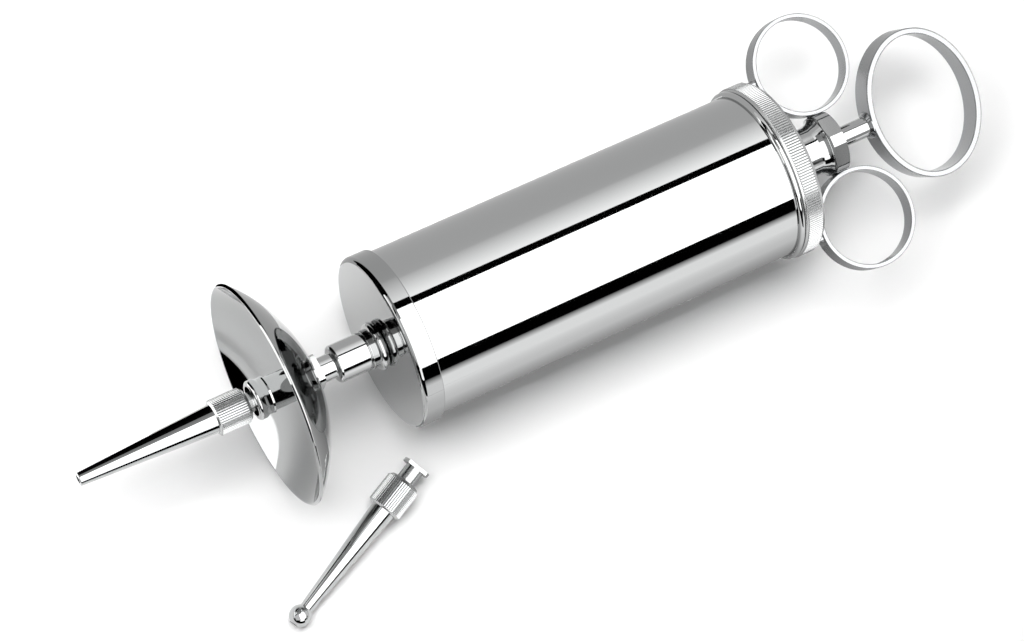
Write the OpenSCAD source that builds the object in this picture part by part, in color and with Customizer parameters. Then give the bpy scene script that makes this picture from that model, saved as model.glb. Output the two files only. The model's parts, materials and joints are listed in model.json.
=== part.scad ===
// Metal ear syringe with splash shield, screwed cap, finger rings and two tips, in millimetres.
// Every syringe piece is drawn along its own axis first: x = 0 is the front face of the
// barrel's flange, +X points back to the thumb ring and +Z is up. laid() then tips the
// syringe so that it lies on the rims of its shield and its cap, as it does on a table.

/* [Barrel] */
// Bore of the barrel tube
barrel_bore = 36.5; // [30:0.5:44]
// Wall of the barrel tube
barrel_wall = 0.8; // [0.6:0.1:1.4]
// Length of the barrel tube
barrel_length = 97; // [60:1:130]

/* [Front flange] */
// Thickness of the flange's front plate
flange_plate = 1.6; // [1:0.1:3]
// Length of the skirt that reaches back over the tube, from the front face
flange_skirt = 5.05; // [3:0.1:10]
// Wall of the skirt
flange_wall = 0.8; // [0.5:0.1:1.5]
// Length of the bevel round the front face
flange_bevel = 0.8; // [0.3:0.1:1]

/* [Nozzle stem] */
// Diameter of the stem's foot, over the half-round bead that seats on the flange
stem_foot_d = 11; // [9:0.2:14]
// Length of that foot
stem_foot = 3.6; // [1.5:0.1:5]
// Diameter of the stem's barrel-shaped body
stem_body_d = 8.6; // [7.4:0.2:9.2]
// Length of that body
stem_body = 7.65; // [4:0.05:14]
// Diameter of the neck in front of the body
stem_neck_d = 5.7; // [5:0.1:7]
// Length of the neck
stem_neck = 3.3; // [1:0.1:8]
// Diameter of the stud that carries the shield and the lock hub
stud_d = 4; // [3.4:0.1:4.4]
// Bore for the water through stem, hub and spigot
water_bore = 1.6; // [1:0.1:1.8]

/* [Splash shield] */
// Diameter of the shield's rim
shield_d = 51.2; // [44:0.2:60]
// Radius of the shield's round back
shield_round = 35.7; // [32:0.1:50]
// Thickness of the shield's sheet
shield_sheet = 0.85; // [0.5:0.05:1.5]
// Distance over the flats of the square boss on the shield's back
boss_flats = 6.6; // [6:0.1:9]
// Distance that the boss stands out behind the shield
boss_back = 1.6; // [0.8:0.1:4]
// Distance that the boss stands out inside the shield
boss_front = 0.6; // [0.3:0.1:2]

/* [Lock for the tips] */
// Diameter of the lock hub
hub_d = 7.6; // [7.4:0.1:9]
// Length of the lock hub
hub_length = 11.3; // [9.6:0.1:16]
// Diameter of the bead on the lock ring
lock_ring_d = 9; // [8.8:0.1:12]
// Length of the lock ring
lock_ring_length = 3.8; // [3.2:0.1:6]
// Thickness of the slotted lip that holds a tip's flange
lock_lip = 1; // [0.6:0.1:1.4]
// Diameter of the spigot that enters a tip
spigot_d = 3; // [2.4:0.1:3.2]

/* [Tips] */
// Diameter of a tip's knurled collar
collar_d = 8.06; // [7.4:0.1:10]
// Length of the knurled collar
collar_length = 7.9; // [5:0.1:12]
// Number of grooves round the collar
collar_grooves = 48; // [24:4:60]
// Diameter of the neck behind the collar
tip_neck_d = 4.4; // [4:0.1:4.6]
// Distance from the collar to the back of the tip
tip_tail = 4.4; // [4.2:0.1:6]
// Diameter of the flange at the back of a tip
tip_flange_d = 6.5; // [5.6:0.1:6.6]
// Thickness of that flange
tip_flange = 0.8; // [0.5:0.1:1]
// Length of the straight tip in front of its collar
straight_length = 31.45; // [20:0.5:50]
// Diameter of the straight tip at its end
straight_end_d = 3.16; // [2.8:0.1:5]
// Diameter of the straight tip at its collar
straight_root_d = 6.5; // [5.4:0.1:7.2]
// Bore of both tips
tip_bore = 2; // [1.2:0.1:2.2]
// Length of the ball-ended tip in front of its collar
ball_length = 31.9; // [20:0.5:50]
// Diameter of the ball
ball_d = 5; // [4:0.1:7]
// Diameter of the ball-ended tip just behind its ball
ball_shaft_d = 2.9; // [2.8:0.1:3.6]
// Diameter of the ball-ended tip at its collar
ball_root_d = 5.7; // [5:0.1:7]
// Distance of the spare tip's ball in front of the flange face, on the table
spare_x = 35.8; // [20:0.5:60]
// Distance of the spare tip's ball from the syringe's axis, on the table
spare_y = 47.5; // [44:0.5:70]
// Angle of the spare tip to the syringe's axis, on the table
spare_turn = 27.4; // [10:0.5:30]

/* [Screwed cap] */
// Diameter of the cap over its knurled rim
cap_d = 40.8; // [40.6:0.1:44]
// Length of the knurled skirt, from the shoulder to the rear face
cap_skirt = 5; // [4:0.1:9]
// Wall of that skirt, with its knurl
cap_wall = 0.7; // [0.6:0.05:2]
// Thickness of the cap's end wall
cap_end = 1; // [0.8:0.1:2]
// Number of grooves round the cap
cap_grooves = 180; // [90:10:200]
// Depth of every knurled groove
groove_depth = 0.25; // [0.1:0.05:0.3]
// Width of the fixed shoulder in front of the cap
shoulder_width = 1.2; // [0.8:0.1:3]
// Depth of the thread ring's wall that the cap screws over
thread_wall = 0.5; // [0.4:0.1:0.6]
// Diameter of the domed bonnet at its rim
bonnet_d = 33.6; // [24:0.2:34]
// Height of the bonnet
bonnet_height = 4.1; // [2:0.1:6]
// Thickness of the bonnet's sheet
bonnet_sheet = 0.8; // [0.5:0.1:1.2]

/* [Gland] */
// Diameter of the gland's neck
gland_d = 11.4; // [10.4:0.1:13]
// Distance from the cap's rear face to the six-sided gland cap
gland_neck = 11.3; // [9.5:0.1:16]
// Distance over the flats of the gland cap
hex_flats = 13.7; // [12.6:0.1:16]
// Length of the gland cap
hex_length = 3.8; // [2.5:0.1:6]
// Bore of the packing box inside the gland
packing_bore = 8.4; // [7.6:0.1:8.8]
// Length of the packing
packing_length = 4.5; // [3:0.1:5]

/* [Finger rings] */
// Outer diameter of a finger ring
finger_ring_d = 23.3; // [20:0.1:28]
// Wall of a finger ring
finger_ring_wall = 1; // [0.8:0.1:2]
// Width of the band of a finger ring
finger_ring_width = 4.4; // [3.4:0.1:6]
// Distance from the cap's rear face to the centres of the finger rings
finger_ring_back = 14.4; // [13.5:0.1:17]

/* [Plunger] */
// Diameter of the plunger rod
rod_d = 4.8; // [4.4:0.1:5.4]
// Length of rod that shows behind the gland cap with the plunger pushed in
rod_free = 8.3; // [5:0.1:20]
// Length of the thumb ring along the syringe
thumb_ring_long = 27.6; // [22:0.2:34]
// Width of the thumb ring across the syringe
thumb_ring_across = 34.6; // [26:0.2:40]
// Wall of the thumb ring
thumb_ring_wall = 1.4; // [1:0.1:2.4]
// Width of the thumb ring's band
thumb_ring_width = 6.4; // [5:0.1:8]
// Turn of the thumb ring out of the plane of the finger rings
thumb_ring_turn = 7.3; // [0:0.1:20]

/* [Piston] */
// Thickness of the metal piston plates
plate_thick = 1.2; // [0.8:0.1:2]
// Thickness of the leather
leather = 1.4; // [1:0.1:2]
// Length of a leather cup's lip
cup_lip = 2.8; // [1.5:0.1:4]
// Distance from the barrel's front plate to the piston nut with the plunger pushed in
piston_stop = 1; // [0.6:0.1:4]

/* [Fits] */
// Clearance round a screwed or soldered joint
joint_gap = 0.05; // [0.02:0.01:0.08]
// Clearance of a piece that turns or slides on another
running_gap = 0.05; // [0.04:0.01:0.08]
// Clearance of the leather cups in the barrel
leather_gap = 0.1; // [0.05:0.01:0.2]

/* [Hidden] */
$fn = 96;
// Extra length of a cutter past the face that it cuts
through = 1;
// Bevel on small turned edges, and on the rear corner of the cap
small_bevel = 0.3;
rim_bevel = 0.6;
// The plain turned core of a knurled piece stays this much under the grooves
core_under = 0.06;

// Radii of the barrel, its flange, its thread ring and the cap's skirt
bore_r = barrel_bore / 2;
tube_r = bore_r + barrel_wall;
flange_r = tube_r + joint_gap + flange_wall;
cap_r = cap_d / 2;
skirt_r = cap_r - cap_wall;
thread_r = skirt_r - 2 * joint_gap;
shoulder_r = cap_r - small_bevel;
// The tube's rear end fits the thread ring, so it is necked in or flared where the cap's
// size doesn't match the barrel's
neck_end_r = thread_r - thread_wall - joint_gap;
neck_bore_r = neck_end_r - barrel_wall;
neck_cone = 1;

// Places along the axis at the barrel's two ends
tube_front = flange_plate;
tube_rear = tube_front + barrel_length;
gasket_thick = 0.8;
cap_inner = tube_rear + gasket_thick + 2 * running_gap;
cap_rear = cap_inner + cap_end;
skirt_front = cap_rear - cap_skirt;
shoulder_front = skirt_front - running_gap * 4 - shoulder_width;

// Places along the nozzle, counted forwards from the flange's face
foot_front = -stem_foot;
stem_groove = 0.25;
body_front = foot_front - stem_groove - stem_body;
bead_r = 0.3 * stem_foot;
neck_front = body_front - stem_neck;
water_r = water_bore / 2;
stud_r = stud_d / 2;
spigot_plate_r = stem_neck_d / 2;

// The shield is part of a hollow ball, whose centre lies in front of it
shield_r = shield_d / 2;
boss_corner_r = 0.66 * boss_flats;
boss_turn = -16;
boss_sleeve_r = stud_r + 0.9;
shield_apex = neck_front - running_gap - boss_back;
ball_centre = shield_apex - shield_round;
shield_inner = shield_round - shield_sheet;
shield_rim = ball_centre + sqrt(pow(shield_round, 2) - pow(shield_r, 2));
seat_back = ball_centre + sqrt(pow(shield_round, 2) - pow(boss_sleeve_r + joint_gap, 2));
boss_inner = shield_apex - shield_sheet - boss_front;

// Lock hub, lock ring and the tip that they hold
washer_thick = 0.6;
hub_r = hub_d / 2;
hub_rear = boss_inner - running_gap - washer_thick;
hub_front = hub_rear - hub_length;
mouth_r = tip_flange_d / 2 + 0.15;
ring_rear = hub_front - lock_lip + lock_ring_length;
lock_front = hub_front - lock_lip;
tip_washer_thick = 1;
neck_show = 1.3;
tip_back = lock_front - neck_show + tip_tail;
mouth_floor = tip_back + tip_washer_thick + 2 * running_gap;
spigot_front = tip_back - 1.5;
stud_front = mouth_floor + 1.4;
lock_r = lock_ring_d / 2;
spigot_r = spigot_d / 2;
socket_r = spigot_r + running_gap;
slot_half = tip_neck_d / 2 + 0.15;
flange_half = tip_neck_d / 2 - 0.05;

// Tip sizes, in a frame whose zero is the back of the tip
collar_r = collar_d / 2;
neck_r = tip_neck_d / 2;
tip_flange_r = tip_flange_d / 2;
collar_back = -tip_tail;
collar_face = collar_back - collar_length;
bore_tip_r = tip_bore / 2;
shank_r = 2;
shank_length = 6;
socket_depth = 1.9;
collar_bevel = 0.6;

// Gland, rings and plunger
gland_r = gland_d / 2;
dome_hole_r = gland_r + joint_gap;
bonnet_r = bonnet_d / 2;
dome_centre = cap_rear + bonnet_height / 2
    - (pow(bonnet_r, 2) - pow(dome_hole_r, 2)) / (2 * bonnet_height);
dome_r = sqrt(pow(bonnet_r, 2) + pow(cap_rear - dome_centre, 2));
gland_flange = 1.2;
gland_flange_r = gland_r + 2.8;
hex_front = cap_rear + gland_neck;
hex_rear = hex_front + hex_length;
hex_land_r = hex_flats / 2 + 0.45;
gland_flare = 2.2;
gland_flare_r = hex_flats / 2 - 0.1;
packing_r = packing_bore / 2;
packing_front = cap_inner + 3.5;
packing_rear = packing_front + packing_length;
follower_length = 2;
follower_rear = packing_rear + follower_length;
rod_r = rod_d / 2;
rod_hole_r = rod_r + running_gap;
finger_r = finger_ring_d / 2;
finger_hole_r = finger_r - finger_ring_wall;
finger_x = cap_rear + finger_ring_back;
finger_y = hex_flats / 2 + 0.1 + finger_r;
foot_half = 1.1;
foot_edge = 0.1;
foot_y = min(finger_y, cap_r - rim_bevel - foot_edge - foot_half);

// The rod ends in a tenon through the thumb ring's front wall
ring_boss = 0.8;
boss_face = hex_rear + rod_free;
thumb_front = boss_face + ring_boss;
thumb_x = thumb_front + thumb_ring_long / 2;
tenon_r = 1.5;

// Piston pieces from the front, with the plunger pushed in
nut_length = 2.4;
nut_flats = 7;
thread_rod_r = 1.9;
plate_bore_r = thread_rod_r + running_gap;
nut_front = tube_front + piston_stop;
plate_front = nut_front + nut_length + running_gap;
cup_front = plate_front + plate_thick;
spacer_front = cup_front + leather;
rear_cup = spacer_front + plate_thick;
rear_plate = rear_cup + leather;
piston_rear = rear_plate + plate_thick;
rod_shoulder = piston_rear + running_gap;
cup_r = bore_r - leather_gap;
plate_r = cup_r - leather - joint_gap;
rod_collar_r = 4;
rod_collar = 2.1;

// The syringe lies on the shield's rim and on the rear corner of the cap's knurl, or on the
// end of the tube's full width where that is lower
rest_x = cap_rear - rim_bevel;
neck_start = shoulder_front - neck_cone;
tilt = min(atan((shield_r - cap_r) / (rest_x - shield_rim)),
    atan((shield_r - tube_r) / (neck_start - shield_rim)));
axis_height = shield_r * cos(tilt) + shield_rim * sin(tilt);
// The spare tip lies on its ball and on the front of its collar
ball_r = ball_d / 2;
spare_centre = collar_face - ball_length + ball_r;
spare_tilt = asin((collar_r - ball_r) / sqrt(pow(collar_face - spare_centre, 2) + pow(collar_r, 2)));
// Middle of the whole box on the table
box_front = (lock_front - neck_show - collar_length - straight_length) * cos(tilt);
box_rear = (thumb_front + thumb_ring_long) * cos(tilt) + thumb_ring_width / 2 * sin(tilt);
centre_x = (box_front + box_rear) / 2;
centre_y = (finger_y + finger_r - spare_y - ball_r) / 2;

// Colours
chrome_colour = [0.78, 0.79, 0.8];
brass_colour = [0.8, 0.66, 0.36];
leather_colour = [0.42, 0.28, 0.17];
rubber_colour = [0.16, 0.15, 0.15];

// Puts the syringe on the table, with the middle of the whole set at the origin
module laid() {
    translate([-centre_x, -centre_y, axis_height]) rotate([0, tilt, 0]) children();
}

// Puts the spare tip on the table beside the syringe
module spare() {
    translate([-spare_x - centre_x, -spare_y - centre_y, ball_r])
        rotate([0, 0, spare_turn]) rotate([0, -spare_tilt, 0])
            translate([-spare_centre, 0, 0]) children();
}

// Puts a tip in the lock of the syringe
module locked() { laid() translate([tip_back, 0, 0]) children(); }

// Solid turned round the axis, from an outline of [radius, x] points
module turned(outline) {
    rotate([0, 90, 0]) rotate_extrude() polygon(outline);
}

// Round bar between two places on the axis
module bar(r, x_from, x_to) {
    translate([x_from, 0, 0]) rotate([0, 90, 0]) cylinder(r = r, h = x_to - x_from);
}

// Ring or tube between two places on the axis
module tube(r_out, r_in, x_from, x_to) {
    difference() {
        bar(r_out, x_from, x_to);
        bar(r_in, x_from - through, x_to + through);
    }
}

// Band of straight grooves round the axis
module knurl(r, grooves, x_from, x_to) {
    corners = [for (i = [0 : 2 * grooves - 1])
        let (a = i * 180 / grooves, q = (i % 2 == 0) ? r : r - groove_depth)
        [q * cos(a), q * sin(a)]];
    translate([x_from, 0, 0]) rotate([0, 90, 0]) linear_extrude(x_to - x_from) polygon(corners);
}

// Flat band bent into a circle, with its hole along Z and bevelled edges
module band_ring(r, wall, width) {
    b = wall / 4;
    h = width / 2;
    rotate_extrude() polygon([
        [r - wall, b - h], [r - wall + b, -h], [r - b, -h], [r, b - h],
        [r, h - b], [r - b, h], [r - wall + b, h], [r - wall, h - b]]);
}

// Points of an oval
function oval(a, b, count = 96) = [for (i = [0 : count - 1]) [a * cos(i * 360 / count), b * sin(i * 360 / count)]];

module barrel_tube() {
    color(chrome_colour) laid() turned([[bore_r, tube_front], [tube_r, tube_front],
        [tube_r, neck_start], [neck_end_r, shoulder_front], [neck_end_r, tube_rear],
        [neck_bore_r, tube_rear], [neck_bore_r, shoulder_front], [bore_r, neck_start]]);
}

module front_flange() {
    color(chrome_colour) laid() difference() {
        turned([[0, 0], [flange_r - small_bevel, 0], [flange_r, flange_bevel],
            [flange_r, flange_skirt], [0, flange_skirt]]);
        bar(tube_r + joint_gap, tube_front, flange_skirt + through);
        bar(spigot_plate_r + joint_gap, -through, tube_front + through);
    }
}

module nozzle_stem() {
    body_r = stem_body_d / 2;
    waist_r = stem_foot_d / 2 - bead_r;
    bead = [for (a = [-90 : 30 : 90]) [waist_r + bead_r * cos(a), bead_r * (sin(a) - 1)]];
    root_r = stem_neck_d / 2;
    color(chrome_colour) laid() difference() {
        turned(concat([[0, stud_front], [stud_r, stud_front], [stud_r, neck_front],
            [root_r, neck_front], [root_r, body_front], [body_r - 2 * small_bevel, body_front],
            [body_r, body_front + 2 * small_bevel], [body_r, foot_front - stem_groove],
            [body_r - small_bevel, foot_front - stem_groove], [body_r - small_bevel, foot_front],
            [waist_r, foot_front]], bead,
            [[spigot_plate_r, 0], [spigot_plate_r, tube_front], [0, tube_front]]));
        bar(water_r, stud_front - through, tube_front + through);
    }
}

module thread_ring() {
    color(chrome_colour) laid() difference() {
        union() {
            bar(thread_r, shoulder_front, tube_rear);
            turned([[0, shoulder_front], [shoulder_r - small_bevel, shoulder_front],
                [shoulder_r, shoulder_front + small_bevel],
                [shoulder_r, shoulder_front + shoulder_width - small_bevel],
                [shoulder_r - small_bevel, shoulder_front + shoulder_width],
                [0, shoulder_front + shoulder_width]]);
        }
        bar(neck_end_r + joint_gap, shoulder_front - through, tube_rear + through);
    }
}

module lock_hub() {
    color(chrome_colour) laid() difference() {
        union() {
            difference() {
                bar(hub_r, hub_front, hub_rear);
                bar(mouth_r, hub_front - through, mouth_floor);
            }
            bar(spigot_r, spigot_front, mouth_floor + through);
        }
        bar(stud_r + joint_gap, stud_front, hub_rear + through);
        bar(water_r, spigot_front - through, stud_front + through);
    }
}

// Ring on the mouth of the hub: its lip has a slot that lets a tip's flange in
module lock_ring() {
    waist_r = hub_r + joint_gap + 0.25;
    bead_back = lock_front + 2.2;
    color(chrome_colour) laid() difference() {
        turned([[0, lock_front], [lock_r - 2 * small_bevel, lock_front],
            [lock_r, lock_front + 2 * small_bevel], [lock_r, bead_back - 2 * small_bevel],
            [waist_r, bead_back + small_bevel], [waist_r, ring_rear - small_bevel],
            [waist_r + small_bevel / 2, ring_rear], [0, ring_rear]]);
        bar(hub_r + joint_gap, hub_front, ring_rear + through);
        bar(slot_half, lock_front - through, hub_front + through);
        intersection() {
            bar(mouth_r, lock_front - through, hub_front + through);
            translate([lock_front - through, -mouth_r, -slot_half])
                cube([lock_lip + 2 * through, 2 * mouth_r, 2 * slot_half]);
        }
    }
}

module shield_washer() {
    color(leather_colour) laid() tube(hub_r - 0.2, stud_r + joint_gap, hub_rear, hub_rear + washer_thick);
}

// Part of a hollow ball, with its rim cut square to the sheet
module shield_dish() {
    reach = shield_round + through;
    color(chrome_colour) laid() difference() {
        intersection() {
            translate([ball_centre, 0, 0]) rotate([0, 90, 0]) sphere(r = shield_round);
            translate([ball_centre, 0, 0]) rotate([0, 90, 0])
                cylinder(r1 = 0, r2 = reach * shield_r / (shield_rim - ball_centre), h = reach);
        }
        translate([ball_centre, 0, 0]) rotate([0, 90, 0]) sphere(r = shield_inner);
        bar(boss_sleeve_r + joint_gap, ball_centre, shield_apex + through);
    }
}

// Sleeve through the shield with a square head on the shield's back
module shield_boss() {
    head = shield_apex + boss_back - seat_back;
    color(chrome_colour) laid() difference() {
        union() {
            bar(boss_sleeve_r, boss_inner, seat_back + head / 2);
            intersection() {
                rotate([boss_turn, 0, 0]) translate([seat_back, -boss_flats / 2, -boss_flats / 2])
                    cube([head, boss_flats, boss_flats]);
                bar(boss_corner_r, seat_back, seat_back + head);
            }
        }
        bar(stud_r + running_gap, boss_inner - through, shield_apex + boss_back + through);
    }
}

// Flat-sided disc that goes in through the lock's slot
module slot_disc(r, x_from, x_to) {
    intersection() {
        bar(r, x_from, x_to);
        translate([x_from, -r, -flange_half]) cube([x_to - x_from, 2 * r, 2 * flange_half]);
    }
}

module tip_washer() {
    washer_front = tip_back + running_gap;
    color(leather_colour) laid() difference() {
        slot_disc(tip_flange_r - joint_gap, washer_front, washer_front + tip_washer_thick);
        bar(socket_r + running_gap, tip_back, washer_front + 2 * tip_washer_thick);
    }
}

// Collar that a tip is held by: knurled grip, neck and two-sided locking flange
module tip_collar() {
    core_r = collar_r - groove_depth - core_under;
    difference() {
        union() {
            knurl(collar_r, collar_grooves, collar_face + small_bevel, collar_back - collar_bevel);
            turned([[0, collar_face], [core_r - small_bevel, collar_face],
                [core_r, collar_face + small_bevel], [core_r, collar_back - collar_bevel],
                [collar_r - collar_bevel, collar_back], [neck_r, collar_back],
                [neck_r, 0], [0, 0]]);
            slot_disc(tip_flange_r, -tip_flange, 0);
        }
        bar(shank_r + joint_gap, collar_face - through, collar_face + shank_length);
        bar(bore_tip_r, collar_face, through);
        bar(socket_r, -socket_depth, through);
    }
}

module straight_cannula() {
    root = collar_face;
    end = root - straight_length;
    color(chrome_colour) locked() difference() {
        turned([[0, end], [straight_end_d / 2, end], [straight_root_d / 2, root],
            [shank_r, root], [shank_r, root + shank_length], [0, root + shank_length]]);
        bar(bore_tip_r, end - through, root + shank_length + through);
    }
}

module straight_collar() {
    color(chrome_colour) locked() tip_collar();
}

module ball_cannula() {
    root = collar_face;
    color(chrome_colour) spare() difference() {
        union() {
            translate([spare_centre, 0, 0]) rotate([0, 90, 0]) sphere(r = ball_r);
            turned([[0, spare_centre], [ball_shaft_d / 2, spare_centre], [ball_root_d / 2, root],
                [shank_r, root], [shank_r, root + shank_length], [0, root + shank_length]]);
        }
        bar(bore_tip_r, spare_centre - ball_d, root + shank_length + through);
    }
}

module ball_collar() {
    color(chrome_colour) spare() tip_collar();
}

module cap_gasket() {
    color(leather_colour) laid()
        tube(thread_r, neck_bore_r - 0.25, tube_rear + running_gap,
            tube_rear + running_gap + gasket_thick);
}

module knurled_cap() {
    rim_r = cap_r - groove_depth - core_under;
    color(chrome_colour) laid() difference() {
        union() {
            knurl(cap_r, cap_grooves, skirt_front + small_bevel, cap_rear - rim_bevel);
            turned([[0, skirt_front], [rim_r - small_bevel, skirt_front],
                [rim_r, skirt_front + small_bevel], [rim_r, cap_rear - rim_bevel],
                [cap_r - rim_bevel, cap_rear], [0, cap_rear]]);
        }
        bar(skirt_r, skirt_front - through, cap_inner);
        bar(gland_r + joint_gap, cap_inner - through, cap_rear + through);
    }
}

// Ball that the bonnet's dome is part of
module dome_ball(r) {
    translate([dome_centre, 0, 0]) rotate([0, 90, 0]) sphere(r = r);
}

// Thin dome between the cap's rear face and the gland
module cap_bonnet() {
    color(chrome_colour) laid() difference() {
        intersection() {
            dome_ball(dome_r);
            bar(bonnet_r + through, cap_rear, cap_rear + 2 * bonnet_height);
        }
        dome_ball(dome_r - bonnet_sheet);
        bar(dome_hole_r, cap_rear - through, cap_rear + 3 * bonnet_height);
    }
}

module gland_body() {
    color(chrome_colour) laid() difference() {
        turned([[0, cap_inner - gland_flange], [gland_flange_r, cap_inner - gland_flange],
            [gland_flange_r, cap_inner], [gland_r, cap_inner], [gland_r, hex_front - gland_flare],
            [gland_r + 0.3 * (gland_flare_r - gland_r), hex_front - gland_flare / 2],
            [gland_flare_r, hex_front], [0, hex_front]]);
        bar(rod_hole_r, cap_inner - gland_flange - through, packing_front + through);
        bar(packing_r, packing_front, hex_front + through);
    }
}

module rod_packing() {
    color(leather_colour) laid() tube(packing_r - joint_gap, rod_hole_r, packing_front, packing_rear);
}

module packing_follower() {
    color(brass_colour) laid() tube(packing_r - joint_gap, rod_hole_r, packing_rear, follower_rear);
}

// Six-sided cap with rounded corners that closes the gland
module gland_cap() {
    corner_r = hex_flats / 2 / cos(30);
    color(chrome_colour) laid() difference() {
        union() {
            intersection() {
                translate([hex_front, 0, 0]) rotate([0, 90, 0])
                    cylinder(r = corner_r, h = hex_length, $fn = 6);
                turned([[0, hex_front], [hex_flats / 2, hex_front],
                    [hex_land_r, hex_front + small_bevel], [hex_land_r, hex_rear],
                    [0, hex_rear]]);
            }
            bar(packing_r - joint_gap, follower_rear, hex_front + through);
        }
        bar(rod_hole_r, follower_rear - through, hex_rear + through);
    }
}

// Finger ring with a foot on the cap, which clears the bonnet, and a saddle on the gland cap,
// on the +Y side
module finger_ring() {
    foot_height = foot_half * 3;
    translate([finger_x, finger_y, 0]) band_ring(finger_r, finger_ring_wall, finger_ring_width);
    difference() {
        translate([cap_rear, foot_y - foot_half, -foot_height / 2])
            cube([finger_ring_back - finger_r + finger_ring_wall / 2, 2 * foot_half, foot_height]);
        dome_ball(dome_r + joint_gap);
    }
    translate([hex_front + small_bevel, hex_flats / 2, -finger_ring_width / 2 + small_bevel])
        cube([hex_length - 2 * small_bevel, 0.1 + finger_ring_wall / 2,
            finger_ring_width - 2 * small_bevel]);
}

module finger_ring_left() {
    color(chrome_colour) laid() finger_ring();
}

module finger_ring_right() {
    color(chrome_colour) laid() mirror([0, 1, 0]) finger_ring();
}

module piston_front_plate() {
    color(brass_colour) laid() tube(plate_r, plate_bore_r, plate_front, cup_front);
}

module piston_spacer() {
    color(brass_colour) laid() tube(plate_r, plate_bore_r, spacer_front, rear_cup);
}

module piston_rear_plate() {
    color(brass_colour) laid() tube(plate_r, plate_bore_r, rear_plate, piston_rear);
}

// Leather disc with a lip: the lip points forward on the front cup and back on the rear one
module leather_cup_front() {
    color(leather_colour) laid() difference() {
        bar(cup_r, cup_front - cup_lip, spacer_front);
        bar(plate_r + joint_gap, cup_front - cup_lip - through, cup_front);
        bar(plate_bore_r, cup_front - through, spacer_front + through);
    }
}

module leather_cup_rear() {
    color(leather_colour) laid() difference() {
        bar(cup_r, rear_cup, rear_plate + cup_lip);
        bar(plate_r + joint_gap, rear_plate, rear_plate + cup_lip + through);
        bar(plate_bore_r, rear_cup - through, rear_plate + through);
    }
}

module piston_nut() {
    color(brass_colour) laid() difference() {
        translate([nut_front, 0, 0]) rotate([0, 90, 0])
            cylinder(r = nut_flats / 2 / cos(30), h = nut_length, $fn = 6);
        bar(thread_rod_r + joint_gap, nut_front - through, nut_front + nut_length + through);
    }
}

module plunger_rod() {
    tenon_end = thumb_front + thumb_ring_wall;
    color(chrome_colour) laid() turned([[0, nut_front], [thread_rod_r, nut_front],
        [thread_rod_r, rod_shoulder], [rod_collar_r, rod_shoulder],
        [rod_collar_r, rod_shoulder + rod_collar], [rod_r, rod_shoulder + rod_collar],
        [rod_r, boss_face], [tenon_r, boss_face], [tenon_r, tenon_end], [0, tenon_end]]);
}

// Oval band that the thumb goes through, with a boss for the rod
module thumb_ring() {
    a = thumb_ring_long / 2;
    b = thumb_ring_across / 2;
    color(chrome_colour) laid() rotate([thumb_ring_turn, 0, 0]) difference() {
        union() {
            translate([thumb_x, 0, -thumb_ring_width / 2]) linear_extrude(thumb_ring_width)
                polygon(oval(a, b));
            bar(rod_r + 0.7, boss_face, thumb_front + thumb_ring_wall / 2);
        }
        translate([thumb_x, 0, -thumb_ring_width]) linear_extrude(2 * thumb_ring_width)
            polygon(oval(a - thumb_ring_wall, b - thumb_ring_wall));
        bar(tenon_r + joint_gap, boss_face - through, thumb_x);
    }
}

barrel_tube();
front_flange();
nozzle_stem();
thread_ring();
lock_hub();
lock_ring();
shield_washer();
shield_dish();
shield_boss();
tip_washer();
straight_cannula();
straight_collar();
ball_cannula();
ball_collar();
cap_gasket();
knurled_cap();
cap_bonnet();
gland_body();
rod_packing();
packing_follower();
gland_cap();
finger_ring_left();
finger_ring_right();
piston_front_plate();
piston_rear_plate();
piston_spacer();
leather_cup_front();
leather_cup_rear();
piston_nut();
plunger_rod();
thumb_ring();
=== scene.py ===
# %% [markdown]
# # A plated metal ear syringe
# The imported model holds every piece of the syringe at its real size and place.
# This lesson dresses it: it builds the polished pieces again as smooth turned meshes,
# because a mirror finish shows every flat facet, and gives each one a procedural finish.
# It starts by loading the model.

# %% Load the model
import json
import math

import bpy
from mathutils import Matrix, Vector

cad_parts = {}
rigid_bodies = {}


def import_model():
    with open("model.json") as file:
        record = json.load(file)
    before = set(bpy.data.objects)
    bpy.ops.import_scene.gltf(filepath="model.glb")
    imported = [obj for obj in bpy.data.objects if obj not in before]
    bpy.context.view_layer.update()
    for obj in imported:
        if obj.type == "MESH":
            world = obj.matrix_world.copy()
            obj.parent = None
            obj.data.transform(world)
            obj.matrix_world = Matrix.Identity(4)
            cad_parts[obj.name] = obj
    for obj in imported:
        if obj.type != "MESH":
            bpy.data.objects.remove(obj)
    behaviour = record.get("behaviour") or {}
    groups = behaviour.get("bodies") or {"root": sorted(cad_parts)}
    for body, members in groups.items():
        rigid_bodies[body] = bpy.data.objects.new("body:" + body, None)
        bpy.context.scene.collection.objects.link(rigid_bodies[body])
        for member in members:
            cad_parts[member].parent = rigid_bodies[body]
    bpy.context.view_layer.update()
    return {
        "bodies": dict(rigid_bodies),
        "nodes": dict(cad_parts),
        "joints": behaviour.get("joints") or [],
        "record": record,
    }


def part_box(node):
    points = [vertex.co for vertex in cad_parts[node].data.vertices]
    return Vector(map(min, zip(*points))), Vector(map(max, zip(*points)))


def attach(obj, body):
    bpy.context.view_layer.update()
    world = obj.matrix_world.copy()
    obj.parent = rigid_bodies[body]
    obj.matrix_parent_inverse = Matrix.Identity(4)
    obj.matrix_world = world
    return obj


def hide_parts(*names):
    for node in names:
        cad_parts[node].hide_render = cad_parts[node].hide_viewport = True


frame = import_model()
MM = 0.001
record = frame["record"]
joints = {joint["name"]: joint for joint in frame["joints"]}
mounts = {mount["name"]: mount for mount in record["mounts"]}
print("bodies:", ", ".join(sorted(frame["bodies"])))

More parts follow.
